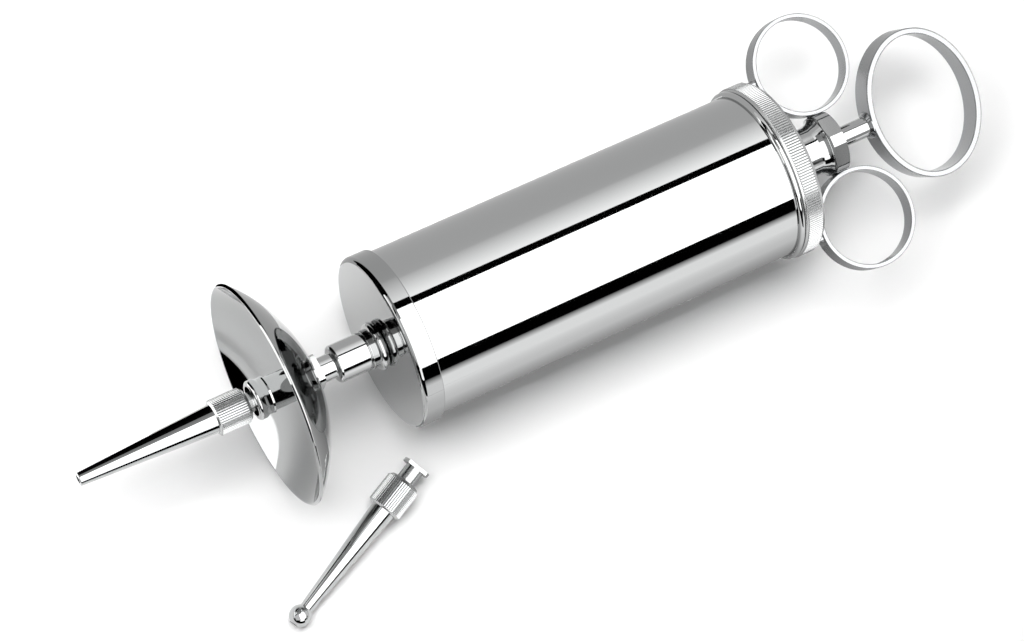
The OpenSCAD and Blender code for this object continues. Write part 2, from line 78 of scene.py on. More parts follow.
# %% [markdown]
# ## Where the pieces lie
# A lathe makes nearly every piece of a real syringe, so each is drawn along an axis.
# The syringe lies a little nose-up on the rims of its shield and cap, and the spare tip
# lies beside it, so the two axes come from the model's joints and mounts.
# Along each axis x is counted in millimetres towards the thumb ring.

# %% Two working axes
def axis_place(direction, point):
    """Matrix whose X runs along a piece's axis, with Y level and Z as high as it can be."""
    x = Vector(direction).normalized()
    y = Vector((0, 0, 1)).cross(x).normalized()
    place = Matrix((x, y, x.cross(y))).transposed().to_4x4()
    place.translation = point
    return place


def slid(place, x):
    """The same axis with its zero moved along it, in millimetres."""
    return place @ Matrix.Translation((x * MM, 0, 0))


def span(node, place):
    """Front and rear of a CAD node along an axis, in millimetres."""
    inverse = place.inverted()
    along = [(inverse @ v.co).x / MM for v in frame["nodes"][node].data.vertices]
    return min(along), max(along)


cap_joint = joints["cap_unscrew"]
syringe = axis_place(cap_joint["axis"], cap_joint["pos_m"])
syringe = slid(syringe, span("front_flange", syringe)[0])
outlet = mounts["ball_tip_outlet"]
spare = axis_place([-v for v in outlet["axis"]], outlet["pos_m"])
spare = slid(spare, span("ball_collar", spare)[1])
fitted = slid(syringe, span("straight_collar", syringe)[1])
print("flange face to thumb ring:", [round(v, 2) for v in span("thumb_ring", syringe)])

# %% [markdown]
# ## The camera
# The photograph looks steeply down on the set, with the camera rolled so that the long
# syringe fills the frame from corner to corner. The lens is long, so the ends look alike.
# A constraint could aim the camera, but it would leave the roll open, so the camera's
# three directions are worked out and set together.

# %% Camera
LENS = 123.05
SENSOR = 36.0
camera_at = Vector((-0.21055, 0.02541, 0.7561))
aim = Vector((-0.00481, 0.0021, 0.0))
frame_right = Vector((0.87998, -0.40273, 0.25187))

camera_data = bpy.data.cameras.new("photo_camera")
camera_data.lens = LENS
camera_data.sensor_width = SENSOR
camera = bpy.data.objects.new("photo_camera", camera_data)
bpy.context.scene.collection.objects.link(camera)
back = (camera_at - aim).normalized()
right = (frame_right - back * frame_right.dot(back)).normalized()
view_matrix = Matrix((right, back.cross(right), back)).transposed().to_4x4()
view_matrix.translation = camera_at
camera.matrix_world = view_matrix
bpy.context.scene.camera = camera
print("camera height in metres:", round(camera_at.z, 3))

# %% [markdown]
# ## Turned outlines
# A turned piece is one outline spun round its axis. Real edges are never sharp: a small
# radius on each corner catches the light. The outline below takes corners as (x, radius)
# or (x, radius, rounding), and keeps the true surface normal at each point, so a long
# straight tube stays a clean mirror right up to its rounded edge. A bevel modifier would
# round the corners too, but not each by its own amount. Four roundings serve most of them.

# %% Outline with rounded corners
ARC_STEP = math.radians(15)
SMOOTH_TURN = math.radians(20)
FINE_EDGE = 0.1
EDGE = 0.15
WORN_EDGE = 0.2
SOFT_EDGE = 0.3
HAIR = 0.01


def turn_between(a, b):
    """Signed angle from one flat direction to another."""
    return math.atan2(a.x * b.y - a.y * b.x, a.dot(b))


def rounded_outline(corners):
    """Points (position, normal before, normal after) of an outline, counted anticlockwise."""
    flat = [Vector(c[:2]) for c in corners]
    count = len(flat)
    area = sum(flat[i - 1].x * flat[i].y - flat[i].x * flat[i - 1].y for i in range(count))
    if area < 0:
        corners = corners[::-1]
        flat = flat[::-1]
    points = []
    for i, corner in enumerate(corners):
        here = flat[i]
        coming = (here - flat[i - 1]).normalized()
        going = (flat[(i + 1) % count] - here).normalized()
        n_in = Vector((coming.y, -coming.x))
        n_out = Vector((going.y, -going.x))
        turn = turn_between(coming, going)
        rounding = corner[2] if len(corner) > 2 else 0
        if rounding > 0:
            reach = rounding * math.tan(abs(turn) / 2)
            side = 1 if turn > 0 else -1
            centre = here - coming * reach - n_in * rounding * side
            steps = max(2, math.ceil(abs(turn) / ARC_STEP))
            for k in range(steps + 1):
                a = turn * k / steps
                n = Matrix.Rotation(a, 2) @ n_in
                points.append((centre + n * rounding * side, n, n))
        elif abs(turn) < SMOOTH_TURN:
            n = (n_in + n_out).normalized()
            points.append((here, n, n))
        else:
            points.append((here, n_in, n_out))
    return points


square = rounded_outline([(0, 0, EDGE), (1, 0, EDGE), (1, 1, EDGE), (0, 1, EDGE)])
print("a square with rounded corners has", len(square), "points")

# %% [markdown]
# ## From points to a piece
# A mesh of flat faces still shades as a true curve when it has its own normals, so each
# shape collects the normals of its outline with its points and faces. Every point also
# keeps its place along the piece's own axis, for the finishes. Each piece then says how
# far it lies from the model's box, because a drift from the model wouldn't show by itself.

# %% Shapes and pieces
OWN_PLACE = "place_on_the_piece"


class Shape:
    """Points, faces and face-corner normals that one piece is collected in."""

    def __init__(self):
        self.vertices = []
        self.faces = []
        self.normals = []

    def ring(self, x, radii, angles):
        start = len(self.vertices)
        for r, a in zip(radii, angles):
            self.vertices.append((x, r * math.cos(a), r * math.sin(a)))
        return range(start, start + len(radii))

    def face(self, corners, normals):
        self.faces.append(tuple(corners))
        self.normals.append(normals)

    def flat_face(self, corners):
        a, b, c = (Vector(self.vertices[i]) for i in corners[:3])
        n = (b - a).cross(c - b)
        self.face(corners, [n] * len(corners))

    def join(self, a, b):
        """Flat quads from one ring to another of as many points."""
        for k in range(len(a)):
            m = (k + 1) % len(a)
            self.flat_face([b[k], a[k], a[m], b[m]])

    def close(self, rings):
        """Joins each ring to the next one, and the last ring to the first."""
        for a, b in zip(rings, rings[1:] + rings[:1]):
            self.join(a, b)


def make_piece(name, shape, place, body, node):
    """Object from a shape in an axis place, riding on a body and replacing a node."""
    mesh = bpy.data.meshes.new(name)
    own = [Vector(v) * MM for v in shape.vertices]
    mesh.from_pydata([place @ v for v in own], [], shape.faces)
    mesh.polygons.foreach_set("use_smooth", [True] * len(shape.faces))
    mesh.update()
    turn = place.to_3x3()
    mesh.normals_split_custom_set([turn @ Vector(n).normalized()
                                   for corners in shape.normals for n in corners])
    mesh.attributes.new(OWN_PLACE, "FLOAT_VECTOR", "POINT")
    mesh.attributes[OWN_PLACE].data.foreach_set("vector", [c for v in own for c in v])
    piece = bpy.data.objects.new(name, mesh)
    bpy.context.scene.collection.objects.link(piece)
    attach(piece, body)
    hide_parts(node)
    box = [[end(v.co[i] for v in mesh.vertices) for i in range(3)] for end in (min, max)]
    off = max(abs(a - b) for ours, model in zip(box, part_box(node)) for a, b in zip(ours, model))
    volume = sum(mesh.vertices[p.vertices[0]].co.dot(p.normal) * p.area / 3 for p in mesh.polygons)
    print(f"{name}: {len(shape.faces)} faces, {volume / MM ** 3:.0f} mm3, "
          f"{off / MM:.2f} mm from the model's box")


print("each piece keeps its own coordinates as", OWN_PLACE)

# %% [markdown]
# ## Spinning an outline
# Each step of the outline becomes a ring of quads. A knurled band replaces one straight
# step with ridges: on the real cap a wheel with straight teeth is pressed into the brass,
# which leaves flat-topped ridges with a V between them. Here they are real geometry,
# because a mirror finish needs true slopes to glint.

# %% Lathe with an optional knurled band
RIDGE_TOP = 0.46
BAND_RUN_OUT = 0.16
STEPS_LARGE = 256
STEPS = 192
STEPS_SMALL = 128
STEPS_HIDDEN = 96
ON_AXIS = 1e-6
SAME_X = 1e-4


def spin(shape, corners, steps=STEPS, knurl=None):
    """Spins an outline round X. knurl is (front, rear, depth, ridges) of a band on it."""
    if knurl:
        steps = 3 * knurl[3]
        ridge = 2 * math.pi / steps * 3
        offsets = (0, RIDGE_TOP, (1 + RIDGE_TOP) / 2)
        angles = [ridge * (k // 3 + offsets[k % 3]) for k in range(steps)]
    else:
        angles = [2 * math.pi * k / steps for k in range(steps)]
    points = rounded_outline(corners)
    rings = []
    for p, _, _ in points:
        if p.y < ON_AXIS:
            rings.append([len(shape.vertices)] * steps)
            shape.vertices.append((p.x, 0, 0))
        else:
            rings.append(shape.ring(p.x, [p.y] * steps, angles))
    for i, (p, _, n_from) in enumerate(points):
        j = (i + 1) % len(points)
        q, n_to, _ = points[j]
        if p.y < ON_AXIS and q.y < ON_AXIS:
            continue
        if knurl and abs(p.x - knurl[1]) < SAME_X and abs(q.x - knurl[0]) < SAME_X:
            knurled_band(shape, rings[i], rings[j], knurl, p.y, angles)
            continue
        for k in range(steps):
            m = (k + 1) % steps
            corner_normals = {}
            for corner, n, a in ((rings[i][k], n_from, angles[k]), (rings[j][k], n_to, angles[k]),
                                 (rings[j][m], n_to, angles[m]), (rings[i][m], n_from, angles[m])):
                corner_normals.setdefault(corner, (n.x, n.y * math.cos(a), n.y * math.sin(a)))
            shape.face(corner_normals, list(corner_normals.values()))


def knurled_band(shape, rear_ring, front_ring, knurl, core, angles):
    """Ridges between two rings of the core, with short run-outs at both ends."""
    front, rear, depth, ridges = knurl
    radii = [core + (0 if k % 3 == 2 else depth) for k in range(3 * ridges)]
    inner_rear = shape.ring(rear - BAND_RUN_OUT, radii, angles)
    inner_front = shape.ring(front + BAND_RUN_OUT, radii, angles)
    rings = (rear_ring, inner_rear, inner_front, front_ring)
    for a, b in zip(rings, rings[1:]):
        shape.join(b, a)


def turned(name, corners, place, body, node, steps=STEPS, knurl=None):
    """Turned piece that replaces one CAD node."""
    shape = Shape()
    spin(shape, corners, steps, knurl)
    make_piece(name, shape, place, body, node)


print("lathe ready, arcs every", round(math.degrees(ARC_STEP)), "degrees")

# %% [markdown]
# ## Barrel and front flange
# The barrel is a thin drawn tube, and a cup-shaped flange is soldered over its front end.
# Both are plain mirrors. A cylinder from Blender's menu would show its flats in them, so
# they are spun with many steps and exact normals, and need nothing else.

# %% Barrel, flange and shoulder
BORE = 36.5
TUBE_WALL = 0.8
SOLDER = 0.05
tube_front, tube_rear = span("barrel_tube", syringe)
bore_r = BORE / 2
tube_r = bore_r + TUBE_WALL
turned("barrel", [(tube_front, bore_r), (tube_rear, bore_r), (tube_rear, tube_r, EDGE),
                  (tube_front, tube_r)], syringe, "barrel", "barrel_tube", STEPS_LARGE)

FLANGE_WALL = 0.8
FLANGE_ROUND = 1.1
SKIRT_ROUND = 0.25
STEM_HOLE_R = 2.9
skirt_rear = span("front_flange", syringe)[1]
flange_r = tube_r + SOLDER + FLANGE_WALL
flange_corners = [
    (0, STEM_HOLE_R), (tube_front, STEM_HOLE_R), (tube_front, tube_r + SOLDER),
    (skirt_rear, tube_r + SOLDER), (skirt_rear, flange_r, SKIRT_ROUND),
    (0, flange_r, FLANGE_ROUND)]
turned("flange", flange_corners, syringe, "barrel", "front_flange", STEPS_LARGE)

THREAD_WALL = 0.5
SHOULDER_R = 20.1
SHOULDER = 1.2
SHOULDER_ROUND = 0.85
shoulder_front = span("thread_ring", syringe)[0]
shoulder_rear = shoulder_front + SHOULDER
thread_r = tube_r + SOLDER + THREAD_WALL
shoulder_corners = [
    (shoulder_front, tube_r + SOLDER), (tube_rear, tube_r + SOLDER),
    (tube_rear, thread_r, WORN_EDGE), (shoulder_rear, thread_r),
    (shoulder_rear, SHOULDER_R, SKIRT_ROUND), (shoulder_front, SHOULDER_R, SHOULDER_ROUND)]
turned("shoulder", shoulder_corners, syringe, "barrel", "thread_ring", STEPS_LARGE)

# %% [markdown]
# ## Nozzle stem
# The stem is one turned bar: a foot with a half-round bead on the flange, a body, a neck,
# and a stud that goes through the shield. One outline makes it, because steps that are
# built one by one can miss each other. The bead and its image in the flange's mirror make
# the small curved glints at its root.

# %% Stem
stem_front, stem_rear = span("nozzle_stem", syringe)
FOOT = 3.6
FOOT_R = 5.5
BEAD = 1.08
BEAD_ROUND = BEAD - HAIR
GROOVE = 0.25
GROOVE_DEEP = 0.3
BODY = 7.65
BODY_R = 4.3
BODY_ROUND = 0.8
NECK = 3.3
NECK_R = 2.85
STUD_R = 2.0
WATER_R = 0.8
body_front = -FOOT - GROOVE - BODY
neck_front = body_front - NECK
stem_corners = [
    (stem_front, WATER_R), (stem_rear, WATER_R), (stem_rear, NECK_R), (0, NECK_R),
    (0, FOOT_R, BEAD_ROUND), (-2 * BEAD, FOOT_R, BEAD_ROUND), (-2 * BEAD, FOOT_R - BEAD),
    (-FOOT, FOOT_R - BEAD, EDGE), (-FOOT, BODY_R - GROOVE_DEEP),
    (-FOOT - GROOVE, BODY_R - GROOVE_DEEP), (-FOOT - GROOVE, BODY_R, EDGE),
    (body_front, BODY_R, BODY_ROUND), (body_front, NECK_R, SOFT_EDGE), (neck_front, NECK_R, EDGE),
    (neck_front, STUD_R), (stem_front, STUD_R)]
turned("stem", stem_corners, syringe, "barrel", "nozzle_stem", STEPS_SMALL)

# %% [markdown]
# ## Splash shield
# The shield is spun from thin sheet: a slice of a hollow ball, hollow side to the tip, so
# that water that comes back out of the ear is caught. A bush with a square head holds it
# on the stud. A sphere cut by a plane would have no thickness and a sharp rim, so both
# faces are arcs in one outline, in even steps round the ball.

# %% Shield
BALL_R = 35.7
SHEET = 0.85
RIM_R = 25.6
RIM_ROUND = 0.3
BOSS_FLATS = 6.6
BOSS_CORNER_R = 4.356
BOSS_TURN = math.radians(-16)
BOSS_BACK = 1.6
SLEEVE_R = 2.9
ARC_POINTS = 40
boss_front, boss_rear = span("shield_boss", syringe)
apex = boss_rear - BOSS_BACK
ball_centre = apex - BALL_R


def ball_arc(centre, radius, r_from, r_to, points):
    """Points of a ball's outline between two distances from the axis."""
    a, b = math.asin(r_from / radius), math.asin(r_to / radius)
    steps = [a + (b - a) * k / (points - 1) for k in range(points)]
    return [(centre + radius * math.cos(t), radius * math.sin(t)) for t in steps]


rim_corner = RIM_R + (math.sqrt(2) - 1) * RIM_ROUND
inner_rim = rim_corner * (BALL_R - SHEET) / BALL_R
outer_arc = ball_arc(ball_centre, BALL_R, SLEEVE_R + SOLDER, rim_corner, ARC_POINTS)
inner_arc = ball_arc(ball_centre, BALL_R - SHEET, inner_rim, SLEEVE_R + SOLDER, ARC_POINTS)
outer_arc[-1] = (*outer_arc[-1], RIM_ROUND)
inner_arc[0] = (*inner_arc[0], RIM_ROUND)
turned("shield", outer_arc + inner_arc, syringe, "shield", "shield_dish", STEPS_LARGE)

# %% [markdown]
# ## Filed flats
# A square or a hexagon is filed on a round bar, so its corners keep a little of the round,
# and a shallow cone bevels its ends. A cylinder with four or six sides would have sharp
# corners, so the sides and the round lands between them are worked out by angle. This
# makes the boss's square head here and the gland's hexagon further on.

# %% Square head of the boss
LAND_STEPS = 6
FLAT_STEPS = 12
INSIDE_FLATS = 0.05
OVERLAP = 0.2


def filed_flats(shape, sides, flats, land_r, turn, hole_r, x_from, x_to, bevel):
    """Bar with flats and rounded corners, whose ends are bevelled by a shallow cone."""
    step = 2 * math.pi / sides
    half = step / 2 - math.acos(flats / 2 / land_r)
    angles = []
    for side in range(sides):
        corner = math.pi / 2 + turn + step * (side - 0.5)
        angles += [corner - half + 2 * half * k / LAND_STEPS for k in range(LAND_STEPS)]
        angles += [corner + half + (step - 2 * half) * k / FLAT_STEPS for k in range(FLAT_STEPS)]
    radii = []
    for a in angles:
        off_middle = (a - math.pi / 2 - turn + step / 2) % step - step / 2
        radii.append(min(land_r, flats / 2 / math.cos(off_middle)))
    face_r = flats / 2 - INSIDE_FLATS
    cut = [bevel * (r - flats / 2 + INSIDE_FLATS) / (land_r - flats / 2 + INSIDE_FLATS)
           for r in radii]
    count = len(angles)
    rings = [shape.ring(x_from, [hole_r] * count, angles),
             shape.ring(x_from, [face_r] * count, angles)]
    for end, way in ((x_from, 1), (x_to, -1)):
        start = len(shape.vertices)
        shape.vertices += [(end + way * c, r * math.cos(a), r * math.sin(a))
                           for c, r, a in zip(cut, radii, angles)]
        rings.append(range(start, start + count))
    rings += [shape.ring(x_to, [face_r] * count, angles), shape.ring(x_to, [hole_r] * count, angles)]
    shape.close(rings)


seat = ball_arc(ball_centre, BALL_R, SLEEVE_R + SOLDER, RIM_R, 2)[0][0]
sleeve_rear = seat + OVERLAP
boss = Shape()
spin(boss, [(boss_front, STUD_R + SOLDER), (sleeve_rear, STUD_R + SOLDER),
            (sleeve_rear, SLEEVE_R), (boss_front, SLEEVE_R, EDGE)], STEPS_SMALL)
filed_flats(boss, 4, BOSS_FLATS, BOSS_CORNER_R, BOSS_TURN, STUD_R + SOLDER, seat, boss_rear, EDGE)
make_piece("boss", boss, syringe, "shield", "shield_boss")

# %% [markdown]
# ## Lock for the tips
# A hub screws on the stud inside the shield, and a beaded ring on its mouth has a slotted
# lip: the tip's flange goes in through the slot and a quarter turn holds it.
# The ring's waist behind the bead is where two fingers grip it. The slot can't be spun
# with the rest, so the lip is a short piece of its own between four rings of points.

# %% Hub
hub_front, hub_rear = span("lock_hub", syringe)
HUB_R = 3.8
MOUTH_R = 3.4
SPIGOT_R = 1.5
SPIGOT_INSET = 0.6
lock_front, lock_rear = span("lock_ring", syringe)
LIP = 1.0
mouth_front = lock_front + LIP
mouth_floor = span("tip_washer", syringe)[1] + SOLDER
spigot_front = mouth_front + SPIGOT_INSET
hub_corners = [
    (spigot_front, WATER_R), (stem_front, WATER_R), (stem_front, STUD_R + SOLDER),
    (hub_rear, STUD_R + SOLDER), (hub_rear, HUB_R, SOFT_EDGE), (mouth_front, HUB_R),
    (mouth_front, MOUTH_R), (mouth_floor, MOUTH_R), (mouth_floor, SPIGOT_R),
    (spigot_front, SPIGOT_R, WORN_EDGE)]
turned("hub", hub_corners, syringe, "barrel", "lock_hub", STEPS_SMALL)
print("hub from", round(hub_front, 2), "to", round(hub_rear, 2))

# %% Lock ring
BEAD_R = 4.5
BEAD_REAR = 2.2
BEAD_SLOPE = 0.5
WAIST_R = 4.1
WAIST_ROOT = 0.2
WAIST_SWEEP = 0.5
WAIST_STEP = 0.15
SLOT_R = 2.35
bead_rear = lock_front + BEAD_REAR
ring_corners = [
    (mouth_front, HUB_R + SOLDER), (lock_rear, HUB_R + SOLDER),
    (lock_rear, WAIST_R + WAIST_STEP, 0.12), (lock_rear - WAIST_SWEEP, WAIST_R, SOFT_EDGE),
    (bead_rear + WAIST_ROOT, WAIST_R, 0.5), (bead_rear - BEAD_SLOPE, BEAD_R, 0.6),
    (lock_front, BEAD_R, 0.7), (lock_front, MOUTH_R + SOLDER), (mouth_front, MOUTH_R + SOLDER)]


def slotted_lip(shape, x_from, x_to, outer, steps=STEPS_SMALL):
    """Lip whose hole is round, with a slot across it that lets a tip's flange in."""
    angles = [2 * math.pi * (k + 0.5) / steps for k in range(steps)]
    hole = [max(SLOT_R, min(MOUTH_R, SLOT_R / abs(math.sin(a)))) for a in angles]
    rings = [shape.ring(x_from, hole, angles), shape.ring(x_from, [outer] * steps, angles),
             shape.ring(x_to, [outer] * steps, angles), shape.ring(x_to, hole, angles)]
    shape.close(rings)


lock_bead = Shape()
spin(lock_bead, ring_corners, STEPS_SMALL)
slotted_lip(lock_bead, lock_front, mouth_front, MOUTH_R + 2 * SOLDER)
make_piece("lock_bead", lock_bead, syringe, "barrel", "lock_ring")

# %% [markdown]
# ## The two tips
# Each tip is a tapered tube soldered into a collar. The collar is knurled for the finger
# tips and ends in a neck and a flat-sided flange for the lock. One tip is straight, and
# the spare one on the table ends in a ball, so that it can't scratch. Both collars come
# from one function. The flange has flats, so it is a short prism set on the spun neck.

# %% Collars
COLLAR_R = 4.03
COLLAR = 7.9
TAIL = 4.4
TIP_NECK_R = 2.2
NECK_ROOT = 0.25
FLANGE_R = 3.25
FLANGE = 0.8
FLAT = 2.15
SOCKET_R = 1.55
SOCKET = 1.9
TIP_BORE_R = 1.0
SHANK_R = 2.0
SHANK = 6.0
GRIP_RIDGES = 48
GRIP_DEPTH = 0.22
GRIP_REAR = 0.75
BAND_FRONT = 0.3
BAND_REAR = 0.6
SIDE_STEPS = 64
collar_rear = -TAIL
collar_front = collar_rear - COLLAR
core_r = COLLAR_R - GRIP_DEPTH


def flat_sided(shape, x_from, x_to, radius, half):
    """Disc with two flat sides, as a short prism round X."""
    a = math.asin(half / radius)
    arc = [-a + 2 * a * k / SIDE_STEPS for k in range(SIDE_STEPS + 1)]
    outline = [(radius * math.cos(t), radius * math.sin(t)) for t in arc]
    outline += [(-y, -z) for y, z in outline]
    start = len(shape.vertices)
    shape.vertices += [(x, y, z) for x in (x_from, x_to) for y, z in outline]
    count = len(outline)
    for k in range(count):
        m = (k + 1) % count
        shape.flat_face([start + k, start + m, start + count + m, start + count + k])
    shape.flat_face([start + k for k in reversed(range(count))])
    shape.flat_face([start + count + k for k in range(count)])


def collar(name, place, body, node):
    """Knurled collar with its neck and its flat-sided flange."""
    shape = Shape()
    band = (collar_front + BAND_FRONT, collar_rear - BAND_REAR, GRIP_DEPTH, GRIP_RIDGES)
    corners = [
        (collar_front, SHANK_R + SOLDER), (collar_front + SHANK, SHANK_R + SOLDER),
        (collar_front + SHANK, TIP_BORE_R), (-SOCKET, TIP_BORE_R), (-SOCKET, SOCKET_R),
        (0, SOCKET_R), (0, TIP_NECK_R, EDGE), (collar_rear, TIP_NECK_R, NECK_ROOT),
        (collar_rear, COLLAR_R - GRIP_REAR, FINE_EDGE), (band[1], core_r), (band[0], core_r),
        (collar_front, core_r - BAND_FRONT, FINE_EDGE)]
    spin(shape, corners, knurl=band)
    flat_sided(shape, -FLANGE, -HAIR, FLANGE_R, FLAT)
    make_piece(name, shape, place, body, node)


collar("straight_grip", fitted, "straight_tip", "straight_collar")
collar("ball_grip", spare, "ball_tip", "ball_collar")

# %% Tapered tubes
STRAIGHT_END_R = 1.58
STRAIGHT_ROOT_R = 3.25
straight_end = span("straight_cannula", fitted)[0]
straight_corners = [
    (straight_end, TIP_BORE_R, FINE_EDGE), (collar_front + SHANK, TIP_BORE_R),
    (collar_front + SHANK, SHANK_R), (collar_front, SHANK_R),
    (collar_front, STRAIGHT_ROOT_R), (straight_end, STRAIGHT_END_R, SOFT_EDGE)]
turned("straight_tube", straight_corners, fitted, "straight_tip", "straight_cannula", STEPS_SMALL)

BALL_TIP_R = 2.5
BALL_SHAFT_R = 1.45
BALL_ROOT_R = 2.85
BALL_STEPS = 24
BALL_BLEND = 0.5
ball_front = span("ball_cannula", spare)[0]
ball_x = ball_front + math.sqrt(BALL_TIP_R ** 2 - TIP_BORE_R ** 2)


def ball_outline():
    """Ball with its outlet in front, blending into the shaft behind."""
    start = math.pi - math.asin(TIP_BORE_R / BALL_TIP_R)
    stop = math.asin(BALL_SHAFT_R / BALL_TIP_R)
    angles = [start + (stop - start) * k / BALL_STEPS for k in range(BALL_STEPS + 1)]
    return [(ball_x + BALL_TIP_R * math.cos(t), BALL_TIP_R * math.sin(t)) for t in angles]


ball_corners = ball_outline()
ball_corners[-1] = (*ball_corners[-1], BALL_BLEND)
ball_corners += [(collar_front, BALL_ROOT_R), (collar_front, SHANK_R),
                 (collar_front + SHANK, SHANK_R), (collar_front + SHANK, TIP_BORE_R)]
turned("ball_tube", ball_corners, spare, "ball_tip", "ball_cannula", STEPS_SMALL)

# %% [markdown]
# ## Screwed cap
# The cap unscrews to take the plunger out, so its rim is knurled all round with fine
# straight grooves. Behind the rim a thin domed bonnet and the gland's neck lead up to a
# six-sided cap that squeezes the packing on the rod. The grooves are cut in the mesh, as
# on the collars, because a bump map would leave the rim's outline smooth.

# %% Cap
CAP_R = 40.8 / 2
CAP_RIDGES = 210
GROOVE_DEPTH = 0.24
CAP_CONE = 0.6
CAP_BAND_FRONT = 0.55
CAP_BAND_REAR = 0.75
END_WALL = 1.0
GLAND_R = 5.7
cap_front, cap_rear = span("knurled_cap", syringe)
cap_core = CAP_R - GROOVE_DEPTH
skirt_r = thread_r + 2 * SOLDER
cap_band = (cap_front + CAP_BAND_FRONT, cap_rear - CAP_BAND_REAR, GROOVE_DEPTH, CAP_RIDGES)
cap_corners = [
    (cap_front, skirt_r), (cap_rear - END_WALL, skirt_r), (cap_rear - END_WALL, GLAND_R + SOLDER),
    (cap_rear, GLAND_R + SOLDER), (cap_rear, CAP_R - CAP_CONE, SOFT_EDGE), (cap_band[1], cap_core),
    (cap_band[0], cap_core), (cap_front, cap_core - 0.1, SOFT_EDGE)]
turned("cap_rim", cap_corners, syringe, "cap", "knurled_cap", knurl=cap_band)

# %% Bonnet
BONNET_R = 16.8
BONNET_HEIGHT = 4.1
BONNET_SHEET = 0.8
DOME_POINTS = 30
bonnet_hole = GLAND_R + SOLDER
rise = (BONNET_R ** 2 - bonnet_hole ** 2) / (2 * BONNET_HEIGHT)
dome_centre = cap_rear + BONNET_HEIGHT / 2 - rise
dome_r = math.hypot(BONNET_R, cap_rear - dome_centre)
dome_inner_r = math.sqrt((dome_r - BONNET_SHEET) ** 2 - (cap_rear - dome_centre) ** 2)
bonnet_corners = ball_arc(dome_centre, dome_r, bonnet_hole, BONNET_R, DOME_POINTS)
bonnet_corners += ball_arc(dome_centre, dome_r - BONNET_SHEET, dome_inner_r, bonnet_hole, DOME_POINTS)
turned("bonnet", bonnet_corners, syringe, "cap", "cap_bonnet")

# %% Gland neck
ROD_R = 2.4
GLAND_FLANGE_R = 8.5
PACKING_R = 4.2
FLARE = 2.2
FLARE_R = 6.75
FLARE_HALFWAY = 0.3
FLARE_ROUND = 2.5
gland_front, gland_rear = span("gland_body", syringe)
packing_front = span("rod_packing", syringe)[0]
gland_corners = [
    (gland_front, ROD_R + SOLDER), (packing_front, ROD_R + SOLDER), (packing_front, PACKING_R),
    (gland_rear, PACKING_R), (gland_rear, FLARE_R, FINE_EDGE),
    (gland_rear - FLARE / 2, GLAND_R + FLARE_HALFWAY * (FLARE_R - GLAND_R), FLARE_ROUND),
    (gland_rear - FLARE, GLAND_R, FLARE_ROUND), (cap_rear - END_WALL, GLAND_R),
    (cap_rear - END_WALL, GLAND_FLANGE_R, FINE_EDGE), (gland_front, GLAND_FLANGE_R, WORN_EDGE)]
turned("gland_neck", gland_corners, syringe, "cap", "gland_body", STEPS_SMALL)

# %% [markdown]
# ## Six-sided gland cap
# It starts as hexagon bar. The lathe takes its sharp corners off, so that each corner is a
# narrow round land, and bevels its ends. The helper for filed flats makes it, as it made
# the boss's square head, and a short spun sleeve in front presses on the packing.

# %% Gland cap
HEX_FLATS = 13.7
HEX_TURN = math.radians(30)
HEX_BEVEL = 0.3
LAND_R = 7.3
hex_front = gland_rear
hex_rear = span("gland_cap", syringe)[1]
follower_rear = span("packing_follower", syringe)[1]
sleeve_corners = [
    (follower_rear, ROD_R + SOLDER), (hex_front + SOLDER, ROD_R + SOLDER),
    (hex_front + SOLDER, PACKING_R - SOLDER), (follower_rear, PACKING_R - SOLDER, FINE_EDGE)]
gland_cap = Shape()
filed_flats(gland_cap, 6, HEX_FLATS, LAND_R, HEX_TURN, ROD_R + SOLDER, hex_front, hex_rear, HEX_BEVEL)
spin(gland_cap, sleeve_corners, STEPS_HIDDEN)
make_piece("gland_hexagon", gland_cap, syringe, "cap", "gland_cap")

# %% [markdown]
# ## Rings
# The finger rings and the thumb ring are flat strip bent round and brazed. A torus would
# have a round section, so a rounded rectangle is moved along a circle or an oval instead,
# standing square to it, and the same function makes all three rings.

# %% Bent strip
def bent_strip(shape, half_long, half_across, wall, width, edge, centre, tilt=0, steps=STEPS):
    """Band whose outer face is an oval in the XY plane, with rounded edges."""
    w, h = wall, width / 2
    section = rounded_outline([(-w, -h, edge), (0, -h, edge), (0, h, edge), (-w, h, edge)])
    turn = Matrix.Rotation(tilt, 3, "X")
    rows = []
    normals = []
    for k in range(steps):
        t = 2 * math.pi * k / steps
        outward = Vector((math.cos(t) / half_long, math.sin(t) / half_across, 0)).normalized()
        on_curve = Vector((half_long * math.cos(t), half_across * math.sin(t), 0))
        start = len(shape.vertices)
        for p, _, _ in section:
            point = on_curve + outward * p.x + Vector((0, 0, p.y))
            shape.vertices.append(tuple(turn @ (point + Vector((centre[0], centre[1], 0)))))
        rows.append(start)
        normals.append([[tuple(turn @ (outward * n.x + Vector((0, 0, n.y)))) for n in ns]
                        for _, *ns in section])
    count = len(section)
    for k in range(steps):
        m = (k + 1) % steps
        for i in range(count):
            j = (i + 1) % count
            shape.face([rows[k] + i, rows[m] + i, rows[m] + j, rows[k] + j],
                       [normals[k][i][1], normals[m][i][1], normals[m][j][0], normals[k][j][0]])


print("a bent strip has", STEPS, "steps round its curve")

# %% [markdown]
# ## Brazed feet
# The finger rings stand on the cap and touch the hexagon, and brazing metal fills both
# joints. Each joint is a short post whose section is a rectangle with very round corners.
# It swells towards both of its ends, as molten brass does when it wets the piece beside
# it. A boolean union would weld the pieces, but the swell needs points of its own.

# %% Brazed foot
FOOT_STEPS = 24
FOOT_AROUND = 32
SQUARENESS = 0.6
SWELL_WIDE = 0.7
SWELL_HIGH = 0.6


